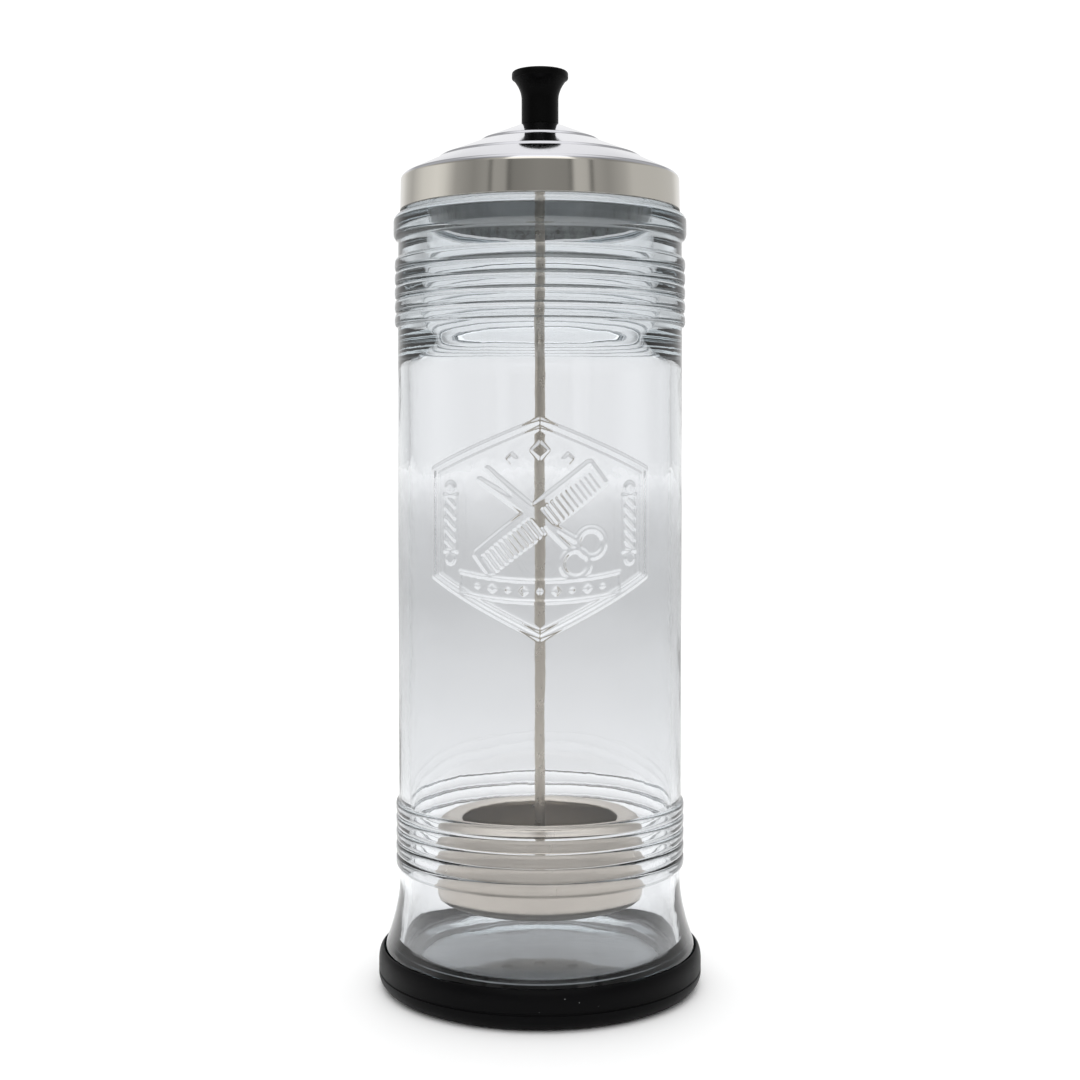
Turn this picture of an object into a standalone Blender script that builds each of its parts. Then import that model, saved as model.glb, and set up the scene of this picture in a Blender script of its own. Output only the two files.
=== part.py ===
# Tall salon disinfectant jar: pressed glass cylinder in a soft plastic boot, a stepped
# steel lid, and a basket that hangs under the lid on a pull rod with a black knob.
# All lengths below are in millimetres; MM turns them to metres where meshes are made.
# The origin is on the floor, on the jar's axis.

import math

import bmesh
import bpy
from mathutils import Matrix

MM = 0.001
GAP = 0.3                      # left between two pieces that touch

# base boot
BOOT_RADIUS = 49.8
BOOT_HEIGHT = 12.2
BOOT_LIP_RADIUS = 38.0         # the boot is a ring: the glass shows through its middle
BOOT_LIP_THICKNESS = 2.5
BOOT_TOP_ROUND = (1.5, 4.0)    # width and height of the curve at the top edge
BOOT_BOTTOM_ROUND = (4.6, 4.4)
BOOT_GROOVE_Z = 5.3
BOOT_GROOVE_DEPTH = 0.35

# glass jar, outside
FOOT_RADIUS = 47.9
FOOT_BOTTOM_Z = BOOT_LIP_THICKNESS + GAP
FOOT_ROUND = 2.5
WAIST_RADIUS = 43.3
WAIST_Z = 33.0
FLARE_POWER = 1.75
FLARE_PIECES = 6
BODY_RADIUS_LOW = 43.6
BODY_RADIUS_HIGH = 43.8
RIB_COUNT = 5
LOW_RIB_Z = 39.0               # crest of the lowest rib of the lower group
LOW_RIB_PITCH = 4.08
LOW_RIB_CREST = 44.5
LOW_RIB_VALLEY = 44.0
HIGH_RIB_Z = 204.3
HIGH_RIB_PITCH = 4.22
HIGH_RIB_CREST = 44.76
HIGH_RIB_VALLEY = 43.98
RIB_STATIONS = (0.97, 0.45, -0.45, -0.97)   # shares of half a pitch where a rib has points
RIB_MARGIN = 0.65              # pitches of plain glass from the outer crests of a group
NECK_RADIUS = 43.7
BEAD_RADIUS = 45.1
BEAD_BOTTOM_Z = 228.4
BEAD_TOP_Z = 236.8
BEAD_ROUND = 2.4
COLLAR_RADIUS = 41.7           # the collar stands up inside the lid's skirt
COLLAR_ROUND = 2.0
COLLAR_TOP_Z = 248.3

# glass jar, inside
FLOOR_Z = 10.5
FLOOR_ROUND = 4.0
FLOOR_BORE = 42.8              # the bore follows the foot's flare down to the floor's corner
BODY_BORE = 40.4
NECK_BORE = 36.9               # it narrows from here towards the mouth
MOUTH_BORE = 34.8
BORE_SHOULDER_LOW_Z = 190.0
BORE_SHOULDER_HIGH_Z = 203.0
SHOULDER_PIECES = 4
NECK_BORE_Z = 212.0
MOUTH_BORE_Z = 238.0

# lid
SKIRT_RADIUS = 43.06
LID_BOTTOM_Z = 237.8
LID_THICKNESS = 0.8
LID_CORNER_ROUND = 1.6
LID_SLOPE_DROP = 0.88          # the sheet's thickness straight down through a sloping tier
TIER_FOOT = (41.9, 248.75)     # radius and height where the first cone starts
STEP_B = (32.0, 253.5)
STEP_C = (18.9, 259.2)
STEP_RISE = 0.75
STEP_RUN = 0.6
LID_APEX_RADIUS = 7.0
LID_APEX_Z = 264.5
ROD_HOLE_RADIUS = 1.9

# rod and knob
ROD_RADIUS = 1.6
ROD_CHAMFER = 0.4
ROD_BOTTOM_Z = 21.2
ROD_TOP_Z = 274.6
KNOB_BOTTOM_Z = LID_APEX_Z + GAP
KNOB_TOP_Z = 281.6
KNOB_STEM_RADIUS = 5.7
KNOB_STEM_TOP_Z = 272.6
KNOB_FLANGE_RADIUS = 8.7
KNOB_FLANGE_Z = 278.9
KNOB_FLANGE_ROUND = 0.9
KNOB_CROWN = 0.35
KNOB_HOLE_RADIUS = 2.9
INSERT_RADIUS = 2.6
INSERT_BORE = ROD_RADIUS + GAP
INSERT_LENGTH = 10.0
INSERT_GROOVE_DEPTH = 0.3
INSERT_GROOVE_WIDTH = 1.4

# basket
CUP_BOTTOM_Z = 26.0
CUP_RIM_Z = 52.0
CUP_RADIUS = 31.7
CUP_THICKNESS = 0.9
CUP_CORNER_ROUND = 4.2
CUP_SHOULDER_ROUND = 3.6
CUP_LIP_RADIUS = 24.0          # the top turns in to a narrower mouth
CUP_LIP_DIP = 0.5
DRAIN_HOLE_RADIUS = 2.0
DRAIN_RINGS = ((12.0, 6), (22.0, 12))   # ring radius and number of holes

# hardware on the rod
WASHER_THICKNESS = 0.8
NUT_HEIGHT = 2.4
NUT_CHAMFER = 0.35
NUT_ACROSS_FLATS = 6.8
LID_WASHER_RADIUS = 6.0
CUP_WASHER_RADIUS = 5.6

ROUND_STEPS = 40
SMALL_STEPS = 20
KNOB_STEPS = 28
HOLE_SIDES = 12
CUT_MARGIN = 2.0               # a cutter's reach past the faces it cuts

PARTS = "disinfectant_jar"
CUTTERS = "cutters"


def clear_scene():
    for thing in list(bpy.data.objects):
        bpy.data.objects.remove(thing, do_unlink=True)


def make_collection(name):
    group = bpy.data.collections.new(name)
    bpy.context.scene.collection.children.link(group)
    return group


def material(name, colour, roughness, metallic=0.0, transmission=0.0):
    finish = bpy.data.materials.new(name)
    finish.use_nodes = True
    shader = finish.node_tree.nodes["Principled BSDF"]
    shader.inputs["Base Color"].default_value = (*colour, 1.0)
    shader.inputs["Roughness"].default_value = roughness
    shader.inputs["Metallic"].default_value = metallic
    shader.inputs["Transmission Weight"].default_value = transmission
    finish.diffuse_color = (*colour, 1.0)
    return finish


def oval_arc(centre, width, height, start_deg, end_deg, pieces):
    """Points of an upright oval's arc in the (radius, height) plane, both ends included."""
    points = []
    for i in range(pieces + 1):
        angle = math.radians(start_deg + (end_deg - start_deg) * i / pieces)
        points.append((centre[0] + width * math.cos(angle), centre[1] + height * math.sin(angle)))
    return points


def arc(centre, radius, start_deg, end_deg, pieces):
    return oval_arc(centre, radius, radius, start_deg, end_deg, pieces)


def sweep(start, end):
    """A flare from start to end, both (radius, height), that widens ever faster."""
    points = []
    for i in range(FLARE_PIECES + 1):
        share = i / FLARE_PIECES
        radius = start[0] + (end[0] - start[0]) * share ** FLARE_POWER
        points.append((radius, start[1] + (end[1] - start[1]) * share))
    return points


def turned(name, profile, finish, steps=ROUND_STEPS, ring=True):
    """Turns a profile of (radius, height) points round Z. The profile runs down its outer side.
    ring: the profile is a closed loop clear of the axis; otherwise both its ends lie on the axis."""
    mesh = bpy.data.meshes.new(name)
    points = [(r * MM, 0.0, z * MM) for r, z in profile]
    edges = [(i, i + 1) for i in range(len(points) - 1)]
    if ring:
        edges.append((len(points) - 1, 0))
    mesh.from_pydata(points, edges, [])
    thing = bpy.data.objects.new(name, mesh)
    bpy.data.collections[PARTS].objects.link(thing)
    screw = thing.modifiers.new("turn", "SCREW")
    screw.axis = "Z"
    screw.angle = math.tau
    screw.steps = steps
    screw.render_steps = steps
    screw.use_merge_vertices = True
    screw.merge_threshold = 0.00001
    screw.use_smooth_shade = True
    thing.data.materials.append(finish)
    return thing


def hole_cutter(name, places, radius, low_z, high_z):
    """One cutter made of upright round pegs, one at each (x, y) place."""
    bm = bmesh.new()
    for x, y in places:
        middle = Matrix.Translation((x * MM, y * MM, (low_z + high_z) / 2 * MM))
        bmesh.ops.create_cone(
            bm, cap_ends=True, segments=HOLE_SIDES, radius1=radius * MM, radius2=radius * MM,
            depth=(high_z - low_z) * MM, matrix=middle)
    mesh = bpy.data.meshes.new(name)
    bm.to_mesh(mesh)
    bm.free()
    cutter = bpy.data.objects.new(name, mesh)
    cutter.hide_render = True
    cutter.display_type = "WIRE"
    bpy.data.collections[CUTTERS].objects.link(cutter)
    return cutter


def cut(thing, cutter):
    boolean = thing.modifiers.new("cut " + cutter.name, "BOOLEAN")
    boolean.operation = "DIFFERENCE"
    boolean.solver = "EXACT"
    boolean.object = cutter


def ribs_downwards(lowest_z, pitch, crest, valley):
    """Rounded ribs with narrow valleys between them, listed from the top one down."""
    points = []
    for rib in reversed(range(RIB_COUNT)):
        middle = lowest_z + rib * pitch
        for across in RIB_STATIONS:
            swell = math.sqrt(1.0 - across * across)
            points.append((valley + (crest - valley) * swell, middle + across * pitch / 2))
    return points


def glass_outside():
    points = arc((COLLAR_RADIUS - COLLAR_ROUND, COLLAR_TOP_Z - COLLAR_ROUND), COLLAR_ROUND, 90, 0, 4)
    points.append((COLLAR_RADIUS, BEAD_TOP_Z))
    bead_core = BEAD_RADIUS - BEAD_ROUND
    points += arc((bead_core, BEAD_TOP_Z - BEAD_ROUND), BEAD_ROUND, 75, 0, 3)
    points += arc((bead_core, BEAD_BOTTOM_Z + BEAD_ROUND), BEAD_ROUND, 0, -65, 3)
    points.append((NECK_RADIUS, BEAD_BOTTOM_Z))
    points.append((NECK_RADIUS, HIGH_RIB_Z + (RIB_COUNT - 1 + RIB_MARGIN) * HIGH_RIB_PITCH))
    points += ribs_downwards(HIGH_RIB_Z, HIGH_RIB_PITCH, HIGH_RIB_CREST, HIGH_RIB_VALLEY)
    points.append((BODY_RADIUS_HIGH, HIGH_RIB_Z - RIB_MARGIN * HIGH_RIB_PITCH))
    points.append((BODY_RADIUS_LOW, LOW_RIB_Z + (RIB_COUNT - 1 + RIB_MARGIN) * LOW_RIB_PITCH))
    points += ribs_downwards(LOW_RIB_Z, LOW_RIB_PITCH, LOW_RIB_CREST, LOW_RIB_VALLEY)
    points += sweep((WAIST_RADIUS, WAIST_Z), (FOOT_RADIUS, BOOT_HEIGHT))
    points += arc((FOOT_RADIUS - FOOT_ROUND, FOOT_BOTTOM_Z + FOOT_ROUND), FOOT_ROUND, 0, -90, 4)
    points.append((0.0, FOOT_BOTTOM_Z))
    return points


def glass_inside():
    """From the middle of the floor outwards and up to the mouth."""
    corner = (FLOOR_BORE - FLOOR_ROUND, FLOOR_Z + FLOOR_ROUND)
    points = [(0.0, FLOOR_Z)]
    points += arc(corner, FLOOR_ROUND, -90, -15, 4)
    points += reversed(sweep((BODY_BORE, WAIST_Z), (FLOOR_BORE, corner[1])))
    for i in range(SHOULDER_PIECES + 1):
        share = i / SHOULDER_PIECES
        ease = (1.0 - math.cos(math.pi * share)) / 2
        height = BORE_SHOULDER_LOW_Z + (BORE_SHOULDER_HIGH_Z - BORE_SHOULDER_LOW_Z) * share
        points.append((BODY_BORE + (NECK_BORE - BODY_BORE) * ease, height))
    points.append((NECK_BORE, NECK_BORE_Z))
    points.append((MOUTH_BORE, MOUTH_BORE_Z))
    points += arc((MOUTH_BORE + COLLAR_ROUND, COLLAR_TOP_Z - COLLAR_ROUND), COLLAR_ROUND, 180, 105, 3)
    return points


def make_glass_jar():
    glass = material("pressed_soda_glass", (0.86, 0.93, 0.94), 0.03, transmission=1.0)
    turned("glass_jar", glass_inside() + glass_outside(), glass, ring=False)


def make_base_boot():
    rubber = material("black_soft_pvc", (0.012, 0.012, 0.013), 0.42)
    inner = FOOT_RADIUS + GAP
    width, height = BOOT_TOP_ROUND
    points = oval_arc((BOOT_RADIUS - width, BOOT_HEIGHT - height), width, height, 90, 0, 4)
    points.append((BOOT_RADIUS, BOOT_GROOVE_Z + BOOT_GROOVE_DEPTH))
    points.append((BOOT_RADIUS - BOOT_GROOVE_DEPTH, BOOT_GROOVE_Z))
    points.append((BOOT_RADIUS, BOOT_GROOVE_Z - BOOT_GROOVE_DEPTH))
    width, height = BOOT_BOTTOM_ROUND
    points += oval_arc((BOOT_RADIUS - width, height), width, height, 0, -90, 4)
    points.append((BOOT_LIP_RADIUS, 0.0))
    points.append((BOOT_LIP_RADIUS, BOOT_LIP_THICKNESS))
    foot_core = (FOOT_RADIUS - FOOT_ROUND, FOOT_BOTTOM_Z + FOOT_ROUND)
    points += arc(foot_core, FOOT_ROUND + GAP, -90, 0, 4)
    points.append((inner, BOOT_HEIGHT))
    turned("base_boot", points, rubber)


def cone_height(start, end, radius):
    return start[1] + (end[1] - start[1]) * (radius - start[0]) / (end[0] - start[0])


def lid_outside():
    """From the apex out over the three conical tiers and down the skirt."""
    step_b_top = (STEP_B[0] - STEP_RUN, STEP_B[1] + STEP_RISE)
    step_c_top = (STEP_C[0] - STEP_RUN, STEP_C[1] + STEP_RISE)
    points = [(ROD_HOLE_RADIUS, LID_APEX_Z), (LID_APEX_RADIUS, LID_APEX_Z)]
    points += [step_c_top, STEP_C, step_b_top, STEP_B, TIER_FOOT]
    corner = (SKIRT_RADIUS - LID_CORNER_ROUND, TIER_FOOT[1] - LID_CORNER_ROUND)
    points += arc(corner, LID_CORNER_ROUND, 60, 0, 4)
    points.append((SKIRT_RADIUS, LID_BOTTOM_Z))
    return points


def lid_inside():
    """The same shape one sheet thickness in, from the skirt's edge back to the apex."""
    drop = LID_SLOPE_DROP
    inner = SKIRT_RADIUS - LID_THICKNESS
    step_b_top = (STEP_B[0] - STEP_RUN - LID_THICKNESS / 2, STEP_B[1] + STEP_RISE - drop)
    step_c_top = (STEP_C[0] - STEP_RUN - LID_THICKNESS / 2, STEP_C[1] + STEP_RISE - drop)
    step_b_foot = (STEP_B[0] - LID_THICKNESS / 2, STEP_B[1] - drop)
    step_c_foot = (STEP_C[0] - LID_THICKNESS / 2, STEP_C[1] - drop)
    shoulder = inner - LID_THICKNESS
    points = [(inner, LID_BOTTOM_Z), (inner, TIER_FOOT[1] - 2 * LID_THICKNESS - drop / 2)]
    points.append((shoulder, cone_height(TIER_FOOT, STEP_B, shoulder) - drop))
    points += [step_b_foot, step_b_top, step_c_foot, step_c_top]
    points.append((LID_APEX_RADIUS - LID_THICKNESS / 2, LID_APEX_Z - LID_THICKNESS))
    points.append((ROD_HOLE_RADIUS, LID_APEX_Z - LID_THICKNESS))
    return points


def make_lid():
    steel = material("polished_stainless", (0.62, 0.60, 0.56), 0.16, metallic=1.0)
    turned("lid_cover", lid_outside() + lid_inside(), steel)


def knob_outside():
    crown = KNOB_FLANGE_RADIUS - KNOB_FLANGE_ROUND
    points = [(0.0, KNOB_TOP_Z), (crown / 2, KNOB_TOP_Z - KNOB_CROWN / 4)]
    round_z = KNOB_TOP_Z - KNOB_CROWN - KNOB_FLANGE_ROUND
    points += arc((crown, round_z), KNOB_FLANGE_ROUND, 90, 0, 3)
    points.append((KNOB_FLANGE_RADIUS, KNOB_FLANGE_Z))
    pieces = 5
    for i in range(1, pieces + 1):
        share = i / pieces
        radius = KNOB_STEM_RADIUS + (KNOB_FLANGE_RADIUS - KNOB_STEM_RADIUS) * (1.0 - share) ** 2
        points.append((radius, KNOB_FLANGE_Z + (KNOB_STEM_TOP_Z - KNOB_FLANGE_Z) * share))
    points.append((KNOB_STEM_RADIUS, KNOB_BOTTOM_Z))
    return points


def make_knob():
    plastic = material("black_moulded_abs", (0.014, 0.014, 0.015), 0.38)
    roof = KNOB_BOTTOM_Z + INSERT_LENGTH + 2 * GAP
    points = knob_outside()
    points += [(KNOB_HOLE_RADIUS, KNOB_BOTTOM_Z), (KNOB_HOLE_RADIUS, roof), (0.0, roof)]
    turned("knob", points, plastic, steps=KNOB_STEPS, ring=False)


def make_knob_insert():
    brass = material("brass", (0.71, 0.52, 0.22), 0.3, metallic=1.0)
    low = KNOB_BOTTOM_Z + GAP
    middle = low + INSERT_LENGTH / 2
    waist = INSERT_RADIUS - INSERT_GROOVE_DEPTH
    half = INSERT_GROOVE_WIDTH / 2
    points = [
        (INSERT_BORE, low + INSERT_LENGTH), (INSERT_RADIUS, low + INSERT_LENGTH),
        (INSERT_RADIUS, middle + half), (waist, middle + half / 2),
        (waist, middle - half / 2), (INSERT_RADIUS, middle - half),
        (INSERT_RADIUS, low), (INSERT_BORE, low)]
    turned("knob_insert", points, brass, steps=SMALL_STEPS)


def make_rod():
    wire = material("drawn_stainless_rod", (0.42, 0.40, 0.37), 0.3, metallic=1.0)
    tip = ROD_RADIUS - ROD_CHAMFER
    points = [
        (0.0, ROD_TOP_Z), (tip, ROD_TOP_Z), (ROD_RADIUS, ROD_TOP_Z - ROD_CHAMFER),
        (ROD_RADIUS, ROD_BOTTOM_Z + ROD_CHAMFER), (tip, ROD_BOTTOM_Z), (0.0, ROD_BOTTOM_Z)]
    turned("pull_rod", points, wire, steps=SMALL_STEPS, ring=False)


def make_washer(name, low_z, radius, finish):
    bore = ROD_RADIUS + GAP
    high_z = low_z + WASHER_THICKNESS
    profile = [(bore, high_z), (radius, high_z), (radius, low_z), (bore, low_z)]
    turned(name, profile, finish, steps=SMALL_STEPS)


def make_nut(name, low_z, finish):
    """A hexagon nut with chamfered corners, made as a six-sided block with its bore cut."""
    corner = NUT_ACROSS_FLATS / math.sqrt(3)
    bm = bmesh.new()
    middle = Matrix.Translation((0.0, 0.0, (low_z + NUT_HEIGHT / 2) * MM))
    bmesh.ops.create_cone(
        bm, cap_ends=True, segments=6, radius1=corner * MM, radius2=corner * MM,
        depth=NUT_HEIGHT * MM, matrix=middle)
    mesh = bpy.data.meshes.new(name)
    bm.to_mesh(mesh)
    bm.free()
    nut = bpy.data.objects.new(name, mesh)
    bpy.data.collections[PARTS].objects.link(nut)
    nut.data.materials.append(finish)
    chamfer = nut.modifiers.new("chamfer", "BEVEL")
    chamfer.width = NUT_CHAMFER * MM
    chamfer.segments = 1
    bore = hole_cutter(
        name + "_bore", [(0.0, 0.0)], ROD_RADIUS + GAP,
        low_z - CUT_MARGIN, low_z + NUT_HEIGHT + CUT_MARGIN)
    cut(nut, bore)


def make_fixings():
    zinc = material("plated_steel_nut", (0.50, 0.49, 0.46), 0.35, metallic=1.0)
    washer = material("stainless_washer", (0.56, 0.55, 0.52), 0.3, metallic=1.0)
    under_lid = LID_APEX_Z - LID_THICKNESS - GAP
    make_washer("lid_washer", under_lid - WASHER_THICKNESS, LID_WASHER_RADIUS, washer)
    make_nut("lid_nut", under_lid - WASHER_THICKNESS - GAP - NUT_HEIGHT, zinc)
    above_floor = CUP_BOTTOM_Z + CUP_THICKNESS + GAP
    make_washer("basket_top_washer", above_floor, CUP_WASHER_RADIUS, washer)
    make_nut("basket_top_nut", above_floor + WASHER_THICKNESS + GAP, zinc)
    below_floor = CUP_BOTTOM_Z - GAP - WASHER_THICKNESS
    make_washer("basket_bottom_washer", below_floor, CUP_WASHER_RADIUS, washer)
    make_nut("basket_bottom_nut", below_floor - GAP - NUT_HEIGHT, zinc)


def cup_profile():
    """A shallow pressed cup whose wall turns in at the top to a narrower mouth."""
    shoulder = (CUP_RADIUS - CUP_SHOULDER_ROUND, CUP_RIM_Z - CUP_SHOULDER_ROUND)
    corner = (CUP_RADIUS - CUP_CORNER_ROUND, CUP_BOTTOM_Z + CUP_CORNER_ROUND)
    points = [(CUP_LIP_RADIUS, CUP_RIM_Z - CUP_LIP_DIP)]
    points += arc(shoulder, CUP_SHOULDER_ROUND, 90, 0, 4)
    points += arc(corner, CUP_CORNER_ROUND, 0, -90, 4)
    points.append((ROD_RADIUS + GAP, CUP_BOTTOM_Z))
    points.append((ROD_RADIUS + GAP, CUP_BOTTOM_Z + CUP_THICKNESS))
    points += arc(corner, CUP_CORNER_ROUND - CUP_THICKNESS, -90, 0, 4)
    points += arc(shoulder, CUP_SHOULDER_ROUND - CUP_THICKNESS, 0, 90, 4)
    points.append((CUP_LIP_RADIUS, CUP_RIM_Z - CUP_LIP_DIP - CUP_THICKNESS))
    return points


def drain_places():
    places = []
    for radius, count in DRAIN_RINGS:
        for i in range(count):
            angle = math.tau * i / count
            places.append((radius * math.cos(angle), radius * math.sin(angle)))
    return places


def make_basket():
    steel = material("brushed_stainless_cup", (0.42, 0.39, 0.36), 0.34, metallic=1.0)
    turned("basket_cup", cup_profile(), steel)
    holes = hole_cutter(
        "drain_holes", drain_places(), DRAIN_HOLE_RADIUS,
        CUP_BOTTOM_Z - CUT_MARGIN, CUP_BOTTOM_Z + CUP_THICKNESS + CUT_MARGIN)
    cut(bpy.data.objects["basket_cup"], holes)


def main():
    clear_scene()
    make_collection(PARTS)
    make_collection(CUTTERS)
    make_glass_jar()
    make_base_boot()
    make_lid()
    make_knob()
    make_knob_insert()
    make_rod()
    make_fixings()
    make_basket()


main()
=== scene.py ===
import math

import bpy
import numpy
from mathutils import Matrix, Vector, noise


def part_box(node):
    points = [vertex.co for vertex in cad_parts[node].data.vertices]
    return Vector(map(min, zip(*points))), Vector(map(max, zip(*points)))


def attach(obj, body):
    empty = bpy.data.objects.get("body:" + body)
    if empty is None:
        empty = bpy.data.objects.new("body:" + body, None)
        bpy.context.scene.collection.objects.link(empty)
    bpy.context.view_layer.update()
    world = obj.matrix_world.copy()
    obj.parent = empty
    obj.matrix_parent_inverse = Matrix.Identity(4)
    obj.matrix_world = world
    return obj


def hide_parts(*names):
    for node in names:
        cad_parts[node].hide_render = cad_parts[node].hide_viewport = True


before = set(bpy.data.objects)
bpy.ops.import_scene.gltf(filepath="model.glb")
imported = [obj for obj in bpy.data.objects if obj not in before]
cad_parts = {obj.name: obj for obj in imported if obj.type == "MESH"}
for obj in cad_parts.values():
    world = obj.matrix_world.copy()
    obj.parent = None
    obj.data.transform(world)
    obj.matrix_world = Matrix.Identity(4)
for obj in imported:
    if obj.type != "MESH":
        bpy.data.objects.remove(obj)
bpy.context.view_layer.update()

mm = 0.001
turn = math.tau


# small tools

def deselectAll():
    if bpy.context.object is not None and bpy.context.object.mode != "OBJECT":
        bpy.ops.object.mode_set(mode="OBJECT")
    bpy.ops.object.select_all(action="DESELECT")


def pick(piece):
    deselectAll()
    piece.select_set(True)
    bpy.context.view_layer.objects.active = piece


def named(name):
    piece = bpy.context.object
    piece.name = name
    piece.data.name = name
    return piece


def arcPoints(centre, radius, startDeg, endDeg, pieces):
    points = []
    for i in range(pieces + 1):
        angle = math.radians(startDeg + (endDeg - startDeg) * i / pieces)
        points.append((centre[0] + radius * math.cos(angle), centre[1] + radius * math.sin(angle)))
    return points


def straight(start, end, pieces, hold=0):
    # the points after start, up to and with end; hold adds one close to each end to keep the shading flat
    shares = [i / pieces for i in range(1, pieces + 1)]
    if hold:
        near = hold / math.dist(start, end)
        shares = [near] + shares[:-1] + [1 - near, 1]
    run, rise = end[0] - start[0], end[1] - start[1]
    return [(start[0] + run * share, start[1] + rise * share) for share in shares]


def lathe(name, outline, segments, creaseDeg=35):
    # one vertex is drawn along the outline (radius, height in mm) and spun round the jar's axis
    deselectAll()
    bpy.ops.mesh.primitive_plane_add(size=mm)
    piece = named(name)
    bpy.ops.object.mode_set(mode="EDIT")
    bpy.ops.mesh.select_mode(type="VERT")
    bpy.ops.mesh.select_all(action="SELECT")
    bpy.ops.mesh.merge(type="CENTER")
    here = outline[0]
    bpy.ops.transform.translate(value=(here[0] * mm, 0, here[1] * mm))
    for point in outline[1:]:
        step = ((point[0] - here[0]) * mm, 0, (point[1] - here[1]) * mm)
        bpy.ops.mesh.extrude_region_move(TRANSFORM_OT_translate={"value": step})
        here = point
    bpy.ops.mesh.select_all(action="SELECT")
    bpy.ops.mesh.spin(steps=segments, angle=turn, center=(0, 0, 0), axis=(0, 0, 1))
    bpy.ops.mesh.select_all(action="SELECT")
    bpy.ops.mesh.remove_doubles(threshold=0.002 * mm)
    bpy.ops.mesh.normals_make_consistent(inside=False)
    bpy.ops.object.mode_set(mode="OBJECT")
    bpy.ops.object.shade_smooth_by_angle(angle=math.radians(creaseDeg))
    return piece


def applyAll(piece):
    pick(piece)
    for modifier in list(piece.modifiers):
        bpy.ops.object.modifier_apply(modifier=modifier.name)


def join(pieces, name):
    deselectAll()
    for piece in pieces:
        piece.select_set(True)
    bpy.context.view_layer.objects.active = pieces[0]
    bpy.ops.object.join()
    return named(name)


def boolean(piece, other, operation):
    # other is used up
    change = piece.modifiers.new(operation.lower(), "BOOLEAN")
    change.operation = operation
    change.solver = "EXACT"
    change.object = other
    applyAll(piece)
    bpy.data.objects.remove(other, do_unlink=True)


def settle(piece, body, slot, *nodes):
    # every new piece stands for its CAD nodes and rides on their body
    if nodes:
        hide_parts(*nodes)
    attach(piece, body)


# camera and studio

studio = {
    "cameraDistance": 0.520,
    "cameraHeight": 0.1633,
    "lens": 56,
    "sensor": 36,
    "pitchDeg": 1.0,
    "shift": -0.052,
    "floorSize": 40.0,
    "floorDrop": 0.1,
    "overhead": 1.0,
    "overheadSpreadDeg": 120,
    "lamp": 4.0,
    "lampPlace": (0, 0.35, 1.2),
    "lampSize": 1.4,
    "ceiling": 1.1,
    "backdrop": 1.1,
    # painted shade: how white the floor is for the glass and steel, at each distance in metres; the camera
    # sees it plain white
    "paperWithPaintedShade": (
        (0.2, 0.93), (0.36, 0.72), (0.6, 0.64), (0.9, 0.6), (1.4, 0.54), (2.5, 0.59), (4.0, 0.68),
        (8.0, 0.82), (16.0, 0.94)),
    # how bright the room is at each turn from the camera's side, left being negative: first up to
    # the top of the walls, then up to the ceiling, each given as the upward part of the direction
    "wallTop": (0.33, 0.45),
    "ceilingEdge": (0.8, 0.95),
    "walls": (
        (-180, 0.98), (-150, 0.9), (-139, 0.66), (-128, 0.54), (-110, 0.84), (-92, 0.95), (-84, 0.85),
        (-72, 0.45), (-55, 0.32), (-43, 0.4), (-40, 0.12), (-38, 0.44), (-28, 0.42), (-25, 0.14),
        (-22, 0.26), (0, 0.32), (22, 0.3), (25, 0.16), (28, 0.62), (39, 0.58), (42, 0.13),
        (45, 0.44), (57, 0.36), (72, 0.5), (81, 0.66), (110, 0.66), (138, 0.69), (150, 0.9),
        (180, 0.98)),
    "upper": (
        (-180, 1.1), (-170, 1.0), (-158, 0.4), (-120, 0.55), (-60, 0.3), (-32, 0.6), (-26, 1.5),
        (26, 1.5), (32, 0.6), (60, 0.3), (120, 0.55), (158, 0.4), (170, 1.0), (180, 1.1)),
}


def makeCamera():
    deselectAll()
    place = (0, -studio["cameraDistance"], studio["cameraHeight"])
    tilt = (math.radians(90 - studio["pitchDeg"]), 0, 0)
    bpy.ops.object.camera_add(location=place, rotation=tilt)
    camera = bpy.context.object
    camera.data.sensor_width = studio["sensor"]
    camera.data.lens = studio["lens"]
    camera.data.shift_y = studio["shift"]
    camera.data.clip_start = 0.01
    bpy.context.scene.camera = camera


def linear(hexColour):
    # sRGB hex to the linear values that shaders use
    values = []
    for i in (0, 2, 4):
        part = int(hexColour[i:i + 2], 16) / 255
        values.append(part / 12.92 if part <= 0.04045 else ((part + 0.055) / 1.055) ** 2.4)
    return (*values, 1.0)


def addNode(tree, kind, sockets=None, wires=None, **settings):
    node = tree.nodes.new("ShaderNode" + kind)
    for name, value in settings.items():
        setattr(node, name, value)
    for socket, value in (sockets or {}).items():
        node.inputs[socket].default_value = value
    for socket, source in (wires or {}).items():
        tree.links.new(source, node.inputs[socket])
    return node


def setRamp(ramp, stops):
    # stops: (place, colour) pairs
    while len(ramp.elements) > 1:
        ramp.elements.remove(ramp.elements[-1])
    ramp.elements[0].position, ramp.elements[0].color = stops[0]
    for place, colour in stops[1:]:
        ramp.elements.new(place).color = colour


def greyLight(light):
    return (light, light, light, 1)


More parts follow.
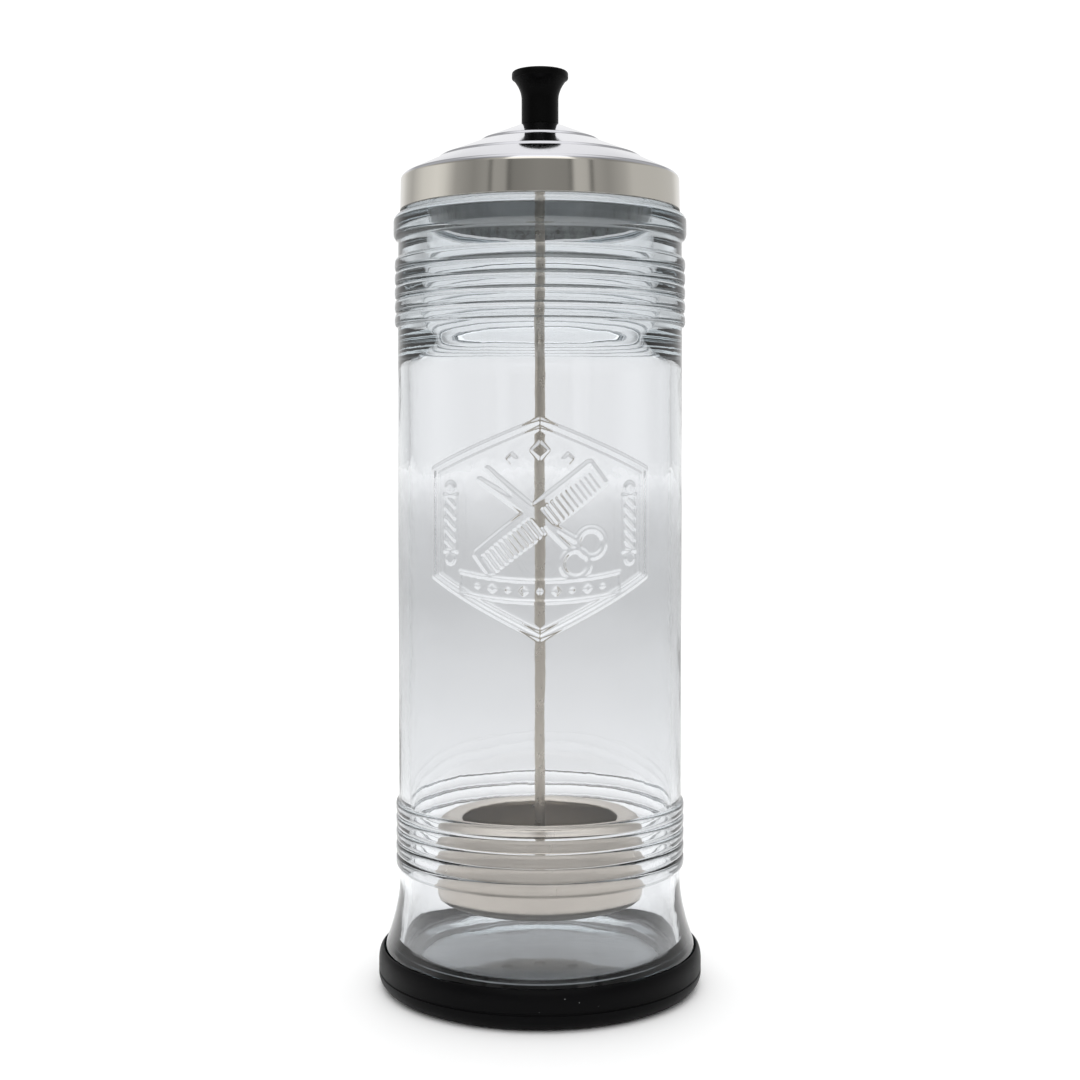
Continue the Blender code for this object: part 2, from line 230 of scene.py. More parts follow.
def makeWorld():
    # a white backdrop behind the jar and a darker room in front of it, with soft boxes at the sides
    world = bpy.data.worlds.new("studio")
    bpy.context.scene.world = world
    world.use_nodes = True
    tree = world.node_tree
    tree.nodes.clear()
    direction = addNode(tree, "TexCoord").outputs["Generated"]
    parts = addNode(tree, "SeparateXYZ", wires={"Vector": direction})
    toCamera = addNode(tree, "Math", operation="MULTIPLY", wires={0: parts.outputs["Y"]}, sockets={1: -1})
    azimuth = addNode(tree, "Math", operation="ARCTAN2",
                      wires={0: parts.outputs["X"], 1: toCamera.outputs[0]})
    share = addNode(tree, "MapRange", sockets={"From Min": -math.pi, "From Max": math.pi},
                    wires={"Value": azimuth.outputs[0]}).outputs["Result"]
    rings = []
    for ring in ("walls", "upper"):
        tone = addNode(tree, "ValToRGB", wires={"Fac": share})
        setRamp(tone.color_ramp, [((deg + 180) / 360, greyLight(light)) for deg, light in studio[ring]])
        rings.append(tone.outputs["Color"])
    edges = []
    for edge in ("wallTop", "ceilingEdge"):
        low, high = studio[edge]
        step = addNode(tree, "MapRange", sockets={"From Min": low, "From Max": high},
                       wires={"Value": parts.outputs["Z"]})
        edges.append(step.outputs["Result"])
    room = addNode(tree, "MixRGB", wires={"Fac": edges[0], "Color1": rings[0], "Color2": rings[1]})
    dome = addNode(tree, "MixRGB", sockets={"Color2": greyLight(studio["ceiling"])},
                   wires={"Fac": edges[1], "Color1": room.outputs["Color"]})
    light = addNode(tree, "Background", wires={"Color": dome.outputs["Color"]})
    backdrop = addNode(tree, "Background", sockets={"Color": greyLight(studio["backdrop"])})
    seen = addNode(tree, "LightPath").outputs["Is Camera Ray"]
    both = addNode(tree, "MixShader", wires={"Fac": seen, 1: light.outputs[0], 2: backdrop.outputs[0]})
    addNode(tree, "OutputWorld", wires={"Surface": both.outputs[0]})


def makeStudio():
    makeCamera()
    makeWorld()
    deselectAll()
    bpy.ops.object.light_add(type="SUN", location=(0, 0, 1))
    sky = bpy.context.object
    sky.data.energy = studio["overhead"]
    sky.data.angle = math.radians(studio["overheadSpreadDeg"])
    sky.visible_glossy = False
    deselectAll()
    bpy.ops.object.light_add(type="AREA", location=studio["lampPlace"])
    lamp = bpy.context.object
    lamp.data.size = studio["lampSize"]
    lamp.data.energy = studio["lamp"]
    lamp.visible_glossy = False
    deselectAll()
    bpy.ops.mesh.primitive_plane_add(size=studio["floorSize"], location=(0, 0, -studio["floorDrop"] * mm))
    floor = named("studioFloor")
    paperWithPaintedShade = bpy.data.materials.new("whitePaperFloorWithPaintedShade")
    paperWithPaintedShade.use_nodes = True
    tree = paperWithPaintedShade.node_tree
    shader = tree.nodes["Principled BSDF"]
    # painted shade: glass and steel see the floor in greys that change with distance, camera rays see it
    # plain white
    seen = addNode(tree, "LightPath").outputs["Is Camera Ray"]
    place = addNode(tree, "TexCoord").outputs["Object"]
    away = addNode(tree, "VectorMath", operation="LENGTH", wires={0: place})
    farthest = studio["paperWithPaintedShade"][-1][0]
    share = addNode(tree, "Math", operation="DIVIDE", wires={0: away.outputs["Value"]},
                    sockets={1: farthest})
    tone = addNode(tree, "ValToRGB", wires={"Fac": share.outputs[0]})
    setRamp(tone.color_ramp, [(metres / farthest, greyLight(light)) for metres, light in studio["paperWithPaintedShade"]])
    white = addNode(tree, "MixRGB", wires={"Fac": seen, "Color1": tone.outputs["Color"]},
                    sockets={"Color2": greyLight(1)})
    tree.links.new(white.outputs["Color"], shader.inputs["Base Color"])
    shader.inputs["Roughness"].default_value = 0.9
    shader.inputs["Specular IOR Level"].default_value = 0.1
    floor.data.materials.append(paperWithPaintedShade)
    bpy.context.scene.view_settings.view_transform = "Standard"
    print("studio ready")


# materials

def perMm(size):
    # a texture scale whose features are this many millimetres wide
    return 1 / (size * mm)


def startMaterial(name, hexColour, roughness, **sockets):
    finish = bpy.data.materials.new(name)
    finish.use_nodes = True
    shader = finish.node_tree.nodes["Principled BSDF"]
    shader.inputs["Base Color"].default_value = linear(hexColour)
    shader.inputs["Roughness"].default_value = roughness
    for socket, value in sockets.items():
        shader.inputs[socket.replace("_", " ")].default_value = value
    return finish, finish.node_tree, shader


def objectCoords(tree, stretch=(1, 1, 1)):
    coords = addNode(tree, "TexCoord").outputs["Object"]
    mapping = addNode(tree, "Mapping", sockets={"Scale": stretch}, wires={"Vector": coords})
    return mapping.outputs["Vector"]


def vary(tree, shader, socket, source, low, high):
    # the source's 0 to 1 becomes low to high on the shader's socket
    spread = addNode(tree, "MapRange", sockets={"To Min": low, "To Max": high}, wires={"Value": source})
    tree.links.new(spread.outputs["Result"], shader.inputs[socket])


def bump(tree, shader, source, depthMm, strength=1.0):
    relief = addNode(tree, "Bump", sockets={"Strength": strength, "Distance": depthMm * mm},
                     wires={"Height": source})
    tree.links.new(relief.outputs["Normal"], shader.inputs["Normal"])


def sodaGlass():
    # thick pressed bottle glass: clear, blue-green only where light runs far inside it, slow ripples
    finish, tree, shader = startMaterial(
        "pressedSodaGlass", "fcfcfd", 0.0, Transmission_Weight=1.0, IOR=1.52)
    ripple = addNode(tree, "TexNoise", sockets={"Scale": perMm(5.5), "Detail": 2.0},
                     wires={"Vector": objectCoords(tree, (1, 1, 0.6))})
    bump(tree, shader, ripple.outputs["Fac"], 0.03)
    body = addNode(tree, "VolumeAbsorption", sockets={"Color": (0.5, 0.63, 0.69, 1), "Density": 22.0})
    tree.links.new(body.outputs["Volume"], tree.nodes["Material Output"].inputs["Volume"])
    return finish


def softPvc():
    # moulded black PVC: satin, slightly uneven, with a few specks of dust
    black, dust = "070708", "9a9c9d"
    finish, tree, shader = startMaterial("mouldedSoftPvc", black, 0.4, Specular_IOR_Level=0.07)
    coords = objectCoords(tree)
    grain = addNode(tree, "TexNoise", sockets={"Scale": perMm(0.5), "Detail": 3.0},
                    wires={"Vector": coords})
    cloud = addNode(tree, "TexNoise", sockets={"Scale": perMm(14), "Detail": 2.0},
                    wires={"Vector": coords})
    vary(tree, shader, "Roughness", cloud.outputs["Fac"], 0.3, 0.52)
    bump(tree, shader, grain.outputs["Fac"], 0.012)
    specks = addNode(tree, "TexVoronoi", sockets={"Scale": perMm(2.6)}, wires={"Vector": coords})
    tiny = addNode(tree, "MapRange", sockets={"From Min": 0.07, "From Max": 0.04},
                   wires={"Value": specks.outputs["Distance"]})
    patch = addNode(tree, "MapRange", sockets={"From Min": 0.56, "From Max": 0.66},
                    wires={"Value": cloud.outputs["Fac"]})
    dusty = addNode(tree, "Math", operation="MULTIPLY",
                    wires={0: tiny.outputs["Result"], 1: patch.outputs["Result"]})
    shade = addNode(tree, "MixRGB", wires={"Fac": dusty.outputs[0]},
                    sockets={"Color1": linear(black), "Color2": linear(dust)})
    tree.links.new(shade.outputs["Color"], shader.inputs["Base Color"])
    return finish


# each steel: name, colour, roughness, groove width and depth in mm, anisotropy
steels = {
    "skirt": ("brushedStainlessSkirt", "d4d0c7", 0.07, 0.12, 0.002, 0.85),
    "rod": ("drawnStainlessRod", "c9c1b5", 0.28, 0.3, 0.003, 0.3),
    "hardware": ("stainlessHardware", "b4b1aa", 0.3, 0.2, 0.003, 0.2),
    "cup": ("brushedStainlessCup", "ccc4ba", 0.3, 0.15, 0.004, 0.5),
}


def brushedSteel(name, hexColour, roughness, grooveMm, grooveDepth, anisotropy):
    # stainless sheet brushed round the axis: fine level grooves smear what it mirrors up and down
    finish, tree, shader = startMaterial(
        name, hexColour, roughness, Metallic=1.0, Anisotropic=anisotropy)
    grooves = addNode(tree, "TexNoise", sockets={"Scale": perMm(grooveMm), "Detail": 4.0},
                      wires={"Vector": objectCoords(tree, (0.02, 0.02, 1))})
    bump(tree, shader, grooves.outputs["Fac"], grooveDepth)
    marks = addNode(tree, "TexNoise", sockets={"Scale": perMm(5), "Detail": 5.0, "Roughness": 0.7},
                    wires={"Vector": objectCoords(tree)})
    vary(tree, shader, "Roughness", marks.outputs["Fac"], roughness * 0.7, roughness * 1.35)
    tangent = addNode(tree, "Tangent", direction_type="RADIAL", axis="Z")
    tree.links.new(tangent.outputs["Tangent"], shader.inputs["Tangent"])
    return finish


def mirrorSteel():
    # buffed stainless: near mirror with faint polishing haze
    finish, tree, shader = startMaterial("buffedStainless", "d7d7dc", 0.07, Metallic=1.0)
    haze = addNode(tree, "TexNoise", sockets={"Scale": perMm(9), "Detail": 6.0, "Roughness": 0.65},
                   wires={"Vector": objectCoords(tree)})
    vary(tree, shader, "Roughness", haze.outputs["Fac"], 0.04, 0.12)
    return finish


def dullSteel():
    # the lid's unpolished underside: grey, mottled darker and brownish, plain light grey higher up under
    # the cone
    finish, tree, shader = startMaterial("mottledSteelUnderside", "a8a6a1", 0.55, Metallic=0.25)
    mottle = addNode(tree, "TexNoise", sockets={"Scale": perMm(4), "Detail": 8.0, "Roughness": 0.75},
                     wires={"Vector": objectCoords(tree)})
    tones = addNode(tree, "ValToRGB", wires={"Fac": mottle.outputs["Fac"]})
    setRamp(tones.color_ramp, [(0.35, linear("7c766b")), (0.5, linear("a8a6a1")), (0.62, linear("bcbab6")),
                               (0.7, linear("85745c"))])
    height = addNode(tree, "SeparateXYZ", wires={"Vector": objectCoords(tree)}).outputs["Z"]
    low, high = lid["plainFrom"]
    plainAbove = addNode(tree, "MapRange", sockets={"From Min": low * mm, "From Max": high * mm},
                    wires={"Value": height})
    whole = addNode(tree, "MixRGB", sockets={"Color2": linear("dcdddc")}, wires={
        "Fac": plainAbove.outputs["Result"], "Color1": tones.outputs["Color"]})
    tree.links.new(whole.outputs["Color"], shader.inputs["Base Color"])
    return finish


def mouldedAbs():
    # injection-moulded black ABS with a fine spark texture
    finish, tree, shader = startMaterial("mouldedAbs", "020202", 0.3, Specular_IOR_Level=0.08)
    coords = objectCoords(tree)
    grain = addNode(tree, "TexNoise", sockets={"Scale": perMm(0.35), "Detail": 3.0},
                    wires={"Vector": coords})
    bump(tree, shader, grain.outputs["Fac"], 0.02)
    rub = addNode(tree, "TexNoise", sockets={"Scale": perMm(4), "Detail": 3.0}, wires={"Vector": coords})
    vary(tree, shader, "Roughness", rub.outputs["Fac"], 0.28, 0.46)
    return finish


def brass():
    # turned brass bush: warm, lightly tarnished
    finish, tree, shader = startMaterial("turnedBrass", "c9a14f", 0.3, Metallic=1.0)
    tarnish = addNode(tree, "TexNoise", sockets={"Scale": perMm(1.5), "Detail": 4.0},
                      wires={"Vector": objectCoords(tree)})
    vary(tree, shader, "Roughness", tarnish.outputs["Fac"], 0.22, 0.42)
    return finish


# glass jar

jar = {
    "footRadius": 47.9,
    "footBottom": 2.8,
    "footRound": 2.5,
    "footTop": 12.2,
    "pushUp": 0.8,
    "bearing": 40.5,
    "waist": (43.3, 33.0),
    "flarePower": 1.75,
    "bodyLow": 43.6,
    "bodyHigh": 43.8,
    "ribs": 5,
    "lowRibs": {"first": 39.0, "pitch": 4.08, "crest": 44.5, "valley": 43.7},
    "highRibs": {"first": 204.3, "pitch": 4.22, "crest": 44.76, "valley": 43.85},
    "ribStations": (1.0, 0.96, 0.9, 0.82, 0.7, 0.5, 0.25),   # shares of half a rib, edge to middle
    "ribFlat": 4,          # higher is flatter on the crest
    "ribSteep": 0.8,       # lower is steeper at the grooves
    "ribFill": 0.495,      # half a rib as a share of the pitch
    "ribEnd": 0.53,        # where the plain wall starts, in pitches from the last rib's middle
    "hold": 0.3,           # how close to a bend the wall is still straight
    "bodyHold": 0.25,
    "neckHold": 0.2,
    "neck": 43.7,
    "beadRadius": 45.1,
    "beadLow": 228.4,
    "beadHigh": 236.8,
    "beadRound": 2.4,
    "collar": 41.7,
    "collarRound": 2.0,
    "collarTop": 248.3,
    "floor": 10.5,
    "floorRound": 4.0,
    "floorBore": 42.8,
    "bore": 40.4,
    "neckBore": 36.9,
    "mouthBore": 34.8,
    "shoulder": (190.0, 203.0),
    "neckBoreLow": 212.0,
    "mouthBoreLow": 238.0,
    "segments": 180,
    "wave": 0.10,
    "waveSize": 16.0,
    "waveFade": 20.0,      # the waves die out over this much below the mouth
    "fineWave": 0.35,
    "fineWaveScale": 2.7,
}

emblem = {
    "centre": 142.0,
    "width": 36.0,
    "height": 32.5,
    "rise": 0.42,
    "soft": 0.45,
    "row": 1.43,
    "cuts": 3,
    # the drawing, from the badge's middle
    "badge": ((0, 31), (34, 17), (34, -14), (0, -31), (-34, -14), (-34, 17)),
    "innerBadge": 0.93,
    "crossing": (0, 3),
    "combDeg": 38,
    "combHalf": 21,
    "toothPitch": 1.7,
    "shearsDeg": 142,
    "shearsOpenDeg": 5.5,
    "poles": ((-27.5, 1.5), (27.5, 1.5)),
    "ribbonHeight": -17.6,
    "ribbonHalf": 24,
    "diamonds": ((0, 22.5, 2.6), (-8, 20, 1.7), (8, 20, 1.7)),
}


def ribOutline(group):
    # broad ribs parted by sharp narrow grooves, from the top one down
    half = jar["ribStations"]
    points = []
    for rib in reversed(range(jar["ribs"])):
        middle = group["first"] + rib * group["pitch"]
        for across in half + (0,) + tuple(-place for place in reversed(half)):
            swell = (1 - abs(across) ** jar["ribFlat"]) ** jar["ribSteep"]
            radius = group["valley"] + (group["crest"] - group["valley"]) * swell
            points.append((radius, middle + across * group["pitch"] * jar["ribFill"]))
    return points


def glassOutline():
    high, low = jar["highRibs"], jar["lowRibs"]
    points = [(0, jar["floor"])]
    corner = (jar["floorBore"] - jar["floorRound"], jar["floor"] + jar["floorRound"])
    points += straight(points[-1], (corner[0], jar["floor"]), 5)
    points += arcPoints(corner, jar["floorRound"], -78, -10, 7)
    for i in range(13):
        share = 1 - i / 12
        radius = jar["bore"] + (jar["floorBore"] - jar["bore"]) * share ** jar["flarePower"]
        points.append((radius, jar["waist"][1] + (corner[1] - jar["waist"][1]) * share))
    points += straight(points[-1], (jar["bore"], jar["shoulder"][0]), 30, jar["hold"])
    for i in range(1, 13):
        share = i / 12
        ease = (1 - math.cos(math.pi * share)) / 2
        height = jar["shoulder"][0] + (jar["shoulder"][1] - jar["shoulder"][0]) * share
        points.append((jar["bore"] + (jar["neckBore"] - jar["bore"]) * ease, height))
    points += straight(points[-1], (jar["neckBore"], jar["neckBoreLow"]), 2, jar["hold"])
    points += straight(points[-1], (jar["mouthBore"], jar["mouthBoreLow"]), 6, jar["hold"])
    top = jar["collarTop"] - jar["collarRound"]
    points += arcPoints((jar["mouthBore"] + jar["collarRound"], top), jar["collarRound"], 180, 90, 6)
    points += arcPoints((jar["collar"] - jar["collarRound"], top), jar["collarRound"], 80, 0, 6)
    points.append((jar["collar"], jar["beadHigh"] + 0.4))
    core = jar["beadRadius"] - jar["beadRound"]
    points += arcPoints((core, jar["beadHigh"] - jar["beadRound"]), jar["beadRound"], 80, 0, 8)
    points += arcPoints((core, jar["beadLow"] + jar["beadRound"]), jar["beadRound"], 0, -62, 7)
    points.append((jar["neck"], jar["beadLow"] - 0.3))
    ribTop = high["first"] + (jar["ribs"] - 0.48) * high["pitch"]
    points += straight(points[-1], (jar["neck"], ribTop), 1, jar["neckHold"])
    points += ribOutline(high)
    bodyTop = (jar["bodyHigh"], high["first"] - jar["ribEnd"] * high["pitch"])
    bodyBottom = (jar["bodyLow"], low["first"] + (jar["ribs"] - 1 + jar["ribEnd"]) * low["pitch"])
    points.append(bodyTop)
    emblemTop = emblem["centre"] + emblem["height"]
    emblemBottom = emblem["centre"] - emblem["height"]
    points += straight(bodyTop, (bodyRadius(emblemTop), emblemTop), 4, jar["bodyHold"])
    rows = round((emblemTop - emblemBottom) / emblem["row"])
    points += straight(points[-1], (bodyRadius(emblemBottom), emblemBottom), rows)
    points += straight(points[-1], bodyBottom, 8, jar["bodyHold"])
    points += ribOutline(low)
    points.append((jar["waist"][0] + 0.1, low["first"] - jar["ribEnd"] * low["pitch"]))
    points += straight(points[-1], jar["waist"], 1, jar["hold"])
    for i in range(1, 15):
        share = i / 14
        radius = jar["waist"][0] + (jar["footRadius"] - jar["waist"][0]) * share ** jar["flarePower"]
        points.append((radius, jar["waist"][1] + (jar["footTop"] - jar["waist"][1]) * share))
    points += arcPoints((jar["footRadius"] - jar["footRound"], jar["footBottom"] + jar["footRound"]),
                        jar["footRound"], 0, -90, 7)
    points.append((jar["bearing"], jar["footBottom"]))
    for i in range(1, 5):
        share = 1 - i / 4
        points.append((jar["bearing"] * share, jar["footBottom"] + jar["pushUp"] * (1 - share ** 2)))
    return points


def bodyRadius(height):
    low, high = jar["lowRibs"]["first"], jar["highRibs"]["first"]
    return jar["bodyLow"] + (jar["bodyHigh"] - jar["bodyLow"]) * (height - low) / (high - low)


# the emblem: crossed comb and shears in a six-sided badge, drawn as distances in mm

def lineDistance(u, v, a, b):
    ax, ay = a
    dx, dy = b[0] - ax, b[1] - ay
    along = numpy.clip(((u - ax) * dx + (v - ay) * dy) / (dx * dx + dy * dy), 0, 1)
    return numpy.hypot(u - ax - along * dx, v - ay - along * dy)


def stroke(distance, halfWidth):
    edge = numpy.clip((halfWidth - distance) / emblem["soft"] + 0.5, 0, 1)
    return edge * edge * (3 - 2 * edge)


def polyStroke(u, v, corners, halfWidth):
    best = numpy.full_like(u, 1e3)
    for a, b in zip(corners, corners[1:] + corners[:1]):
        best = numpy.minimum(best, lineDistance(u, v, a, b))
    return stroke(best, halfWidth)


def turned(u, v, centre, deg):
    # coordinates along and across a line at that angle
    c, s = math.cos(math.radians(deg)), math.sin(math.radians(deg))
    return (u - centre[0]) * c + (v - centre[1]) * s, (v - centre[1]) * c - (u - centre[0]) * s


def boxStroke(along, across, halfLength, halfWidth):
    outside = numpy.hypot(numpy.maximum(numpy.abs(along) - halfLength, 0),
                          numpy.maximum(numpy.abs(across) - halfWidth, 0))
    return stroke(outside, emblem["soft"] / 2)


def combRelief(u, v):
    along, across = turned(u, v, emblem["crossing"], emblem["combDeg"])
    shape = boxStroke(along, across - 3.2, emblem["combHalf"], 1.1)
    for tooth in range(-12, 13):
        place = tooth * emblem["toothPitch"]
        shape = numpy.maximum(shape, boxStroke(along - place, across + 0.6, 0.25, 3.4))
    shape = numpy.maximum(shape, boxStroke(along - 21.2, across, 0.5, 3.8))
    return numpy.maximum(shape, boxStroke(along + 21.2, across, 0.5, 3.8))


def shearsRelief(u, v):
    shape = numpy.zeros_like(u)
    for side in (-1, 1):
        angle = emblem["shearsDeg"] + side * emblem["shearsOpenDeg"]
        along, across = turned(u, v, emblem["crossing"], angle)
        blade = numpy.clip((along + 1) / 22, 0, 1)
        spine = numpy.hypot(numpy.maximum(numpy.abs(along - 10) - 11, 0), across)
        tip = stroke(spine, 1.5 * (1 - blade) + 0.3)
        shank = stroke(lineDistance(along, across, (0, 0), (-12, -side * 0.4)), 0.8)
        ring = stroke(numpy.abs(numpy.hypot(along + 16.2, across + side * 2.2) - 4.0), 0.75)
        for part in (tip, shank, ring):
            shape = numpy.maximum(shape, part)
    rivet = numpy.hypot(u - emblem["crossing"][0], v - emblem["crossing"][1])
    return numpy.maximum(shape, stroke(rivet, 1.3))


def poleRelief(u, v, centre):
    # a small striped pole with round caps
    across, along = u - centre[0], v - centre[1]
    frameLine = stroke(numpy.abs(numpy.maximum(numpy.abs(across) - 2.1, numpy.abs(along) - 8)), 0.35)
    stripes = stroke(numpy.abs((along + across * 0.9 + 40) % 3.2 - 1.6), 0.45)
    inside = (numpy.abs(across) < 1.9) & (numpy.abs(along) < 7.8)
    shape = numpy.maximum(frameLine, stripes * inside)
    for end in (-1, 1):
        shape = numpy.maximum(shape, stroke(numpy.hypot(across, along - end * 10.2), 1.7))
    return shape


def ribbonRelief(u, v):
    # a bowed band with a row of small diamonds on it
    half = emblem["ribbonHalf"]
    bow = v - emblem["ribbonHeight"] - 0.004 * u * u
    inside = numpy.abs(u) < half
    shape = numpy.maximum(stroke(numpy.abs(bow - 3.0), 0.4), stroke(numpy.abs(bow + 3.0), 0.4)) * inside
    for end in (-half, half):
        shape = numpy.maximum(shape, stroke(lineDistance(u, bow, (end, -3), (end, 3)), 0.4))
    for spot in range(-4, 5):
        size = 1.3 if spot % 2 else 0.8
        shape = numpy.maximum(shape, stroke(numpy.abs(u - spot * 4.6) + numpy.abs(bow), size))
    return shape


def reliefHeight(u, v):
    badge = list(emblem["badge"])
    inner = [(x * emblem["innerBadge"], y * emblem["innerBadge"]) for x, y in badge]
    shape = polyStroke(u, v, badge, 0.6)
    shape = numpy.maximum(shape, polyStroke(u, v, inner, 0.3) * 0.8)
    shape = numpy.maximum(shape, combRelief(u, v))
    shape = numpy.maximum(shape, shearsRelief(u, v))
    for place in emblem["poles"]:
        shape = numpy.maximum(shape, poleRelief(u, v, place))
    shape = numpy.maximum(shape, ribbonRelief(u, v))
    for x, y, size in emblem["diamonds"]:
        shape = numpy.maximum(shape, stroke(numpy.abs(u - x) + numpy.abs(v - y), size))
    return shape


def pressEmblem(piece):
    # finer faces where the badge is, then each point moves out by the badge's height there
    mesh = piece.data
    pick(piece)
    bpy.ops.object.mode_set(mode="EDIT")
    bpy.ops.mesh.select_mode(type="FACE")
    bpy.ops.mesh.select_all(action="DESELECT")
    bpy.ops.object.mode_set(mode="OBJECT")
    for face in mesh.polygons:
        x, y, z = (c / mm for c in face.center)
        across = math.atan2(x, -y) * jar["bodyLow"]
        outer = math.hypot(x, y) > (jar["bore"] + jar["bodyLow"]) / 2
        face.select = (outer and abs(across) < emblem["width"]
                       and abs(z - emblem["centre"]) < emblem["height"])
    bpy.ops.object.mode_set(mode="EDIT")
    bpy.ops.mesh.subdivide(number_cuts=emblem["cuts"])
    bpy.ops.object.mode_set(mode="OBJECT")
    places = numpy.empty(len(mesh.vertices) * 3)
    mesh.vertices.foreach_get("co", places)
    places = places.reshape(-1, 3) / mm
    radius = numpy.hypot(places[:, 0], places[:, 1])
    angle = numpy.arctan2(places[:, 0], -places[:, 1])
    across = angle * jar["bodyLow"]
    up = places[:, 2] - emblem["centre"]
    wall = (radius > (jar["bore"] + jar["bodyLow"]) / 2)
    inside = wall & (numpy.abs(across) < emblem["width"] + 1) & (numpy.abs(up) < emblem["height"] + 1)
    height = reliefHeight(across[inside], up[inside]) * emblem["rise"]
    skin = bodyRadius(places[inside, 2]) + height
    places[inside, 0] = skin * numpy.sin(angle[inside])
    places[inside, 1] = -skin * numpy.cos(angle[inside])
    mesh.vertices.foreach_set("co", (places * mm).ravel())
    mesh.update()


def waveInside(piece):
    # blown and pressed glass is never even: the bore wanders by a tenth of a millimetre
    for point in piece.data.vertices:
        radius = math.hypot(point.co.x, point.co.y) / mm
        height = point.co.z / mm
        if not 5 <= radius <= jar["bore"] + 0.5 or height < jar["floor"] + jar["floorRound"]:
            continue
        fade = min(1, (jar["mouthBoreLow"] - height) / jar["waveFade"])
        if fade <= 0:
            continue
        spot = point.co / (jar["waveSize"] * mm)
        wave = noise.noise(Vector((spot.x, spot.y, spot.z * 0.8)))
        wave += jar["fineWave"] * noise.noise(Vector((spot.x, spot.y, spot.z)) * jar["fineWaveScale"])
        grown = 1 + jar["wave"] * wave * fade / radius
        point.co.x *= grown
        point.co.y *= grown


def makeGlassJar(glass):
    piece = lathe("glassJar", glassOutline(), jar["segments"], 80)
    waveInside(piece)
    pressEmblem(piece)
    piece.data.materials.append(glass)
    settle(piece, "jar", "glass", "glass_jar")
    print("glass jar:", len(piece.data.polygons), "faces")


# base boot

boot = {
    "radius": 49.8,
    "height": 12.2,
    "lipRadius": 38.0,
    "lipThickness": 2.5,
    "bottomRound": (4.6, 4.4),
    "topRound": (1.5, 4.0),
    "groove": 5.3,
    "grooveDepth": 0.35,
    "lipRound": 0.5,
    "gap": 0.3,
    "segments": 160,
}


def ovalPoints(corner, size, startDeg, endDeg, pieces):
    # a quarter oval that rounds off the corner; size is its width and height
    side = 1 if endDeg < 0 else -1
    centre = (corner[0] - size[0], corner[1] + side * size[1])
    points = []
    for spot in arcPoints((0, 0), 1, startDeg, endDeg, pieces):
        points.append((centre[0] + spot[0] * size[0], centre[1] + spot[1] * size[1]))
    return points


def makeBoot(rubber):
    radius, top = boot["radius"], boot["height"]
    lipCore, soft = boot["lipRadius"] + boot["lipRound"], boot["lipRound"]
    points = ovalPoints((radius, top), boot["topRound"], 90, 0, 10)
    points += straight(points[-1], (radius, boot["groove"] + boot["grooveDepth"]), 3)
    points += arcPoints((radius, boot["groove"]), boot["grooveDepth"], 90, 270, 6)
    points += ovalPoints((radius, 0), boot["bottomRound"], 0, -90, 10)
    points.append((lipCore, 0.0))
    points += arcPoints((lipCore, soft), soft, 270, 180, 3)
    points += arcPoints((lipCore, boot["lipThickness"] - soft), soft, 180, 90, 3)
    core = (jar["footRadius"] - jar["footRound"], jar["footBottom"] + jar["footRound"])
    points += arcPoints(core, jar["footRound"] + boot["gap"], -90, 0, 8)
    points.append((jar["footRadius"] + boot["gap"], top - 0.2))
    points.append(points[0])
    piece = lathe("baseBoot", points, boot["segments"])
    piece.data.materials.append(rubber)
    settle(piece, "jar", "boot", "base_boot")
    print("boot ready")


# lid

lid = {
    "skirt": 43.06,
    "bottom": 237.8,
    "sheet": 0.8,
    "corner": 1.3,
    "coneFoot": (41.9, 248.75),
    "stepB": (32.0, 253.5),
    "stepC": (18.9, 259.2),
    "rise": 0.75,
    "run": 0.6,
    "apexRadius": 7.0,
    "apex": 264.5,
    "hole": 1.9,
    "plainFrom": (243, 248),   # between these heights the darker mottled underside gives way to plain light grey
    "segments": 192,
}


def roundedPath(corners, pieces=4):
    # corners: (radius, height, rounding); each corner is replaced by a small curve
    points = [corners[0][:2]]
    for before, at, after in zip(corners, corners[1:], corners[2:]):
        a, b, c = Vector(before[:2]), Vector(at[:2]), Vector(after[:2])
        size = at[2]
        start = b + (a - b).normalized() * size
        end = b + (c - b).normalized() * size
        for i in range(pieces + 1):
            t = i / pieces
            spot = start * (1 - t) ** 2 + b * 2 * t * (1 - t) + end * t ** 2
            points.append((spot.x, spot.y))
    points.append(corners[-1][:2])
    return points


def lidOutline():
    rise, run, sheet = lid["rise"], lid["run"], lid["sheet"]
    bx, bz = lid["stepB"]
    cx, cz = lid["stepC"]
    top = lid["apex"]
    drop = sheet * 1.1
    outside = [
        (lid["hole"], top, 0), (lid["apexRadius"], top, 0.6),
        (cx - run, cz + rise, 0.3), (cx, cz, 0.15),
        (bx - run, bz + rise, 0.3), (bx, bz, 0.15),
        (lid["skirt"] - 0.2, lid["coneFoot"][1] - 0.35, lid["corner"]),
        (lid["skirt"], lid["bottom"] + 0.2, 0.15), (lid["skirt"] - 0.2, lid["bottom"], 0)]
    inner = lid["skirt"] - sheet
    inside = [
        (inner + 0.2, lid["bottom"], 0), (inner, lid["bottom"] + 0.2, 0.15),
        (inner, lid["coneFoot"][1] - 0.3 - drop, 0.5),
        (bx - sheet / 2, bz - drop, 0.2), (bx - run - sheet / 2, bz + rise - drop, 0.2),
        (cx - sheet / 2, cz - drop, 0.2), (cx - run - sheet / 2, cz + rise - drop, 0.2),
        (lid["apexRadius"] - sheet / 2, top - sheet, 0.4), (lid["hole"], top - sheet, 0)]
    points = roundedPath(outside) + roundedPath(inside)
    points.append(points[0])
    return points


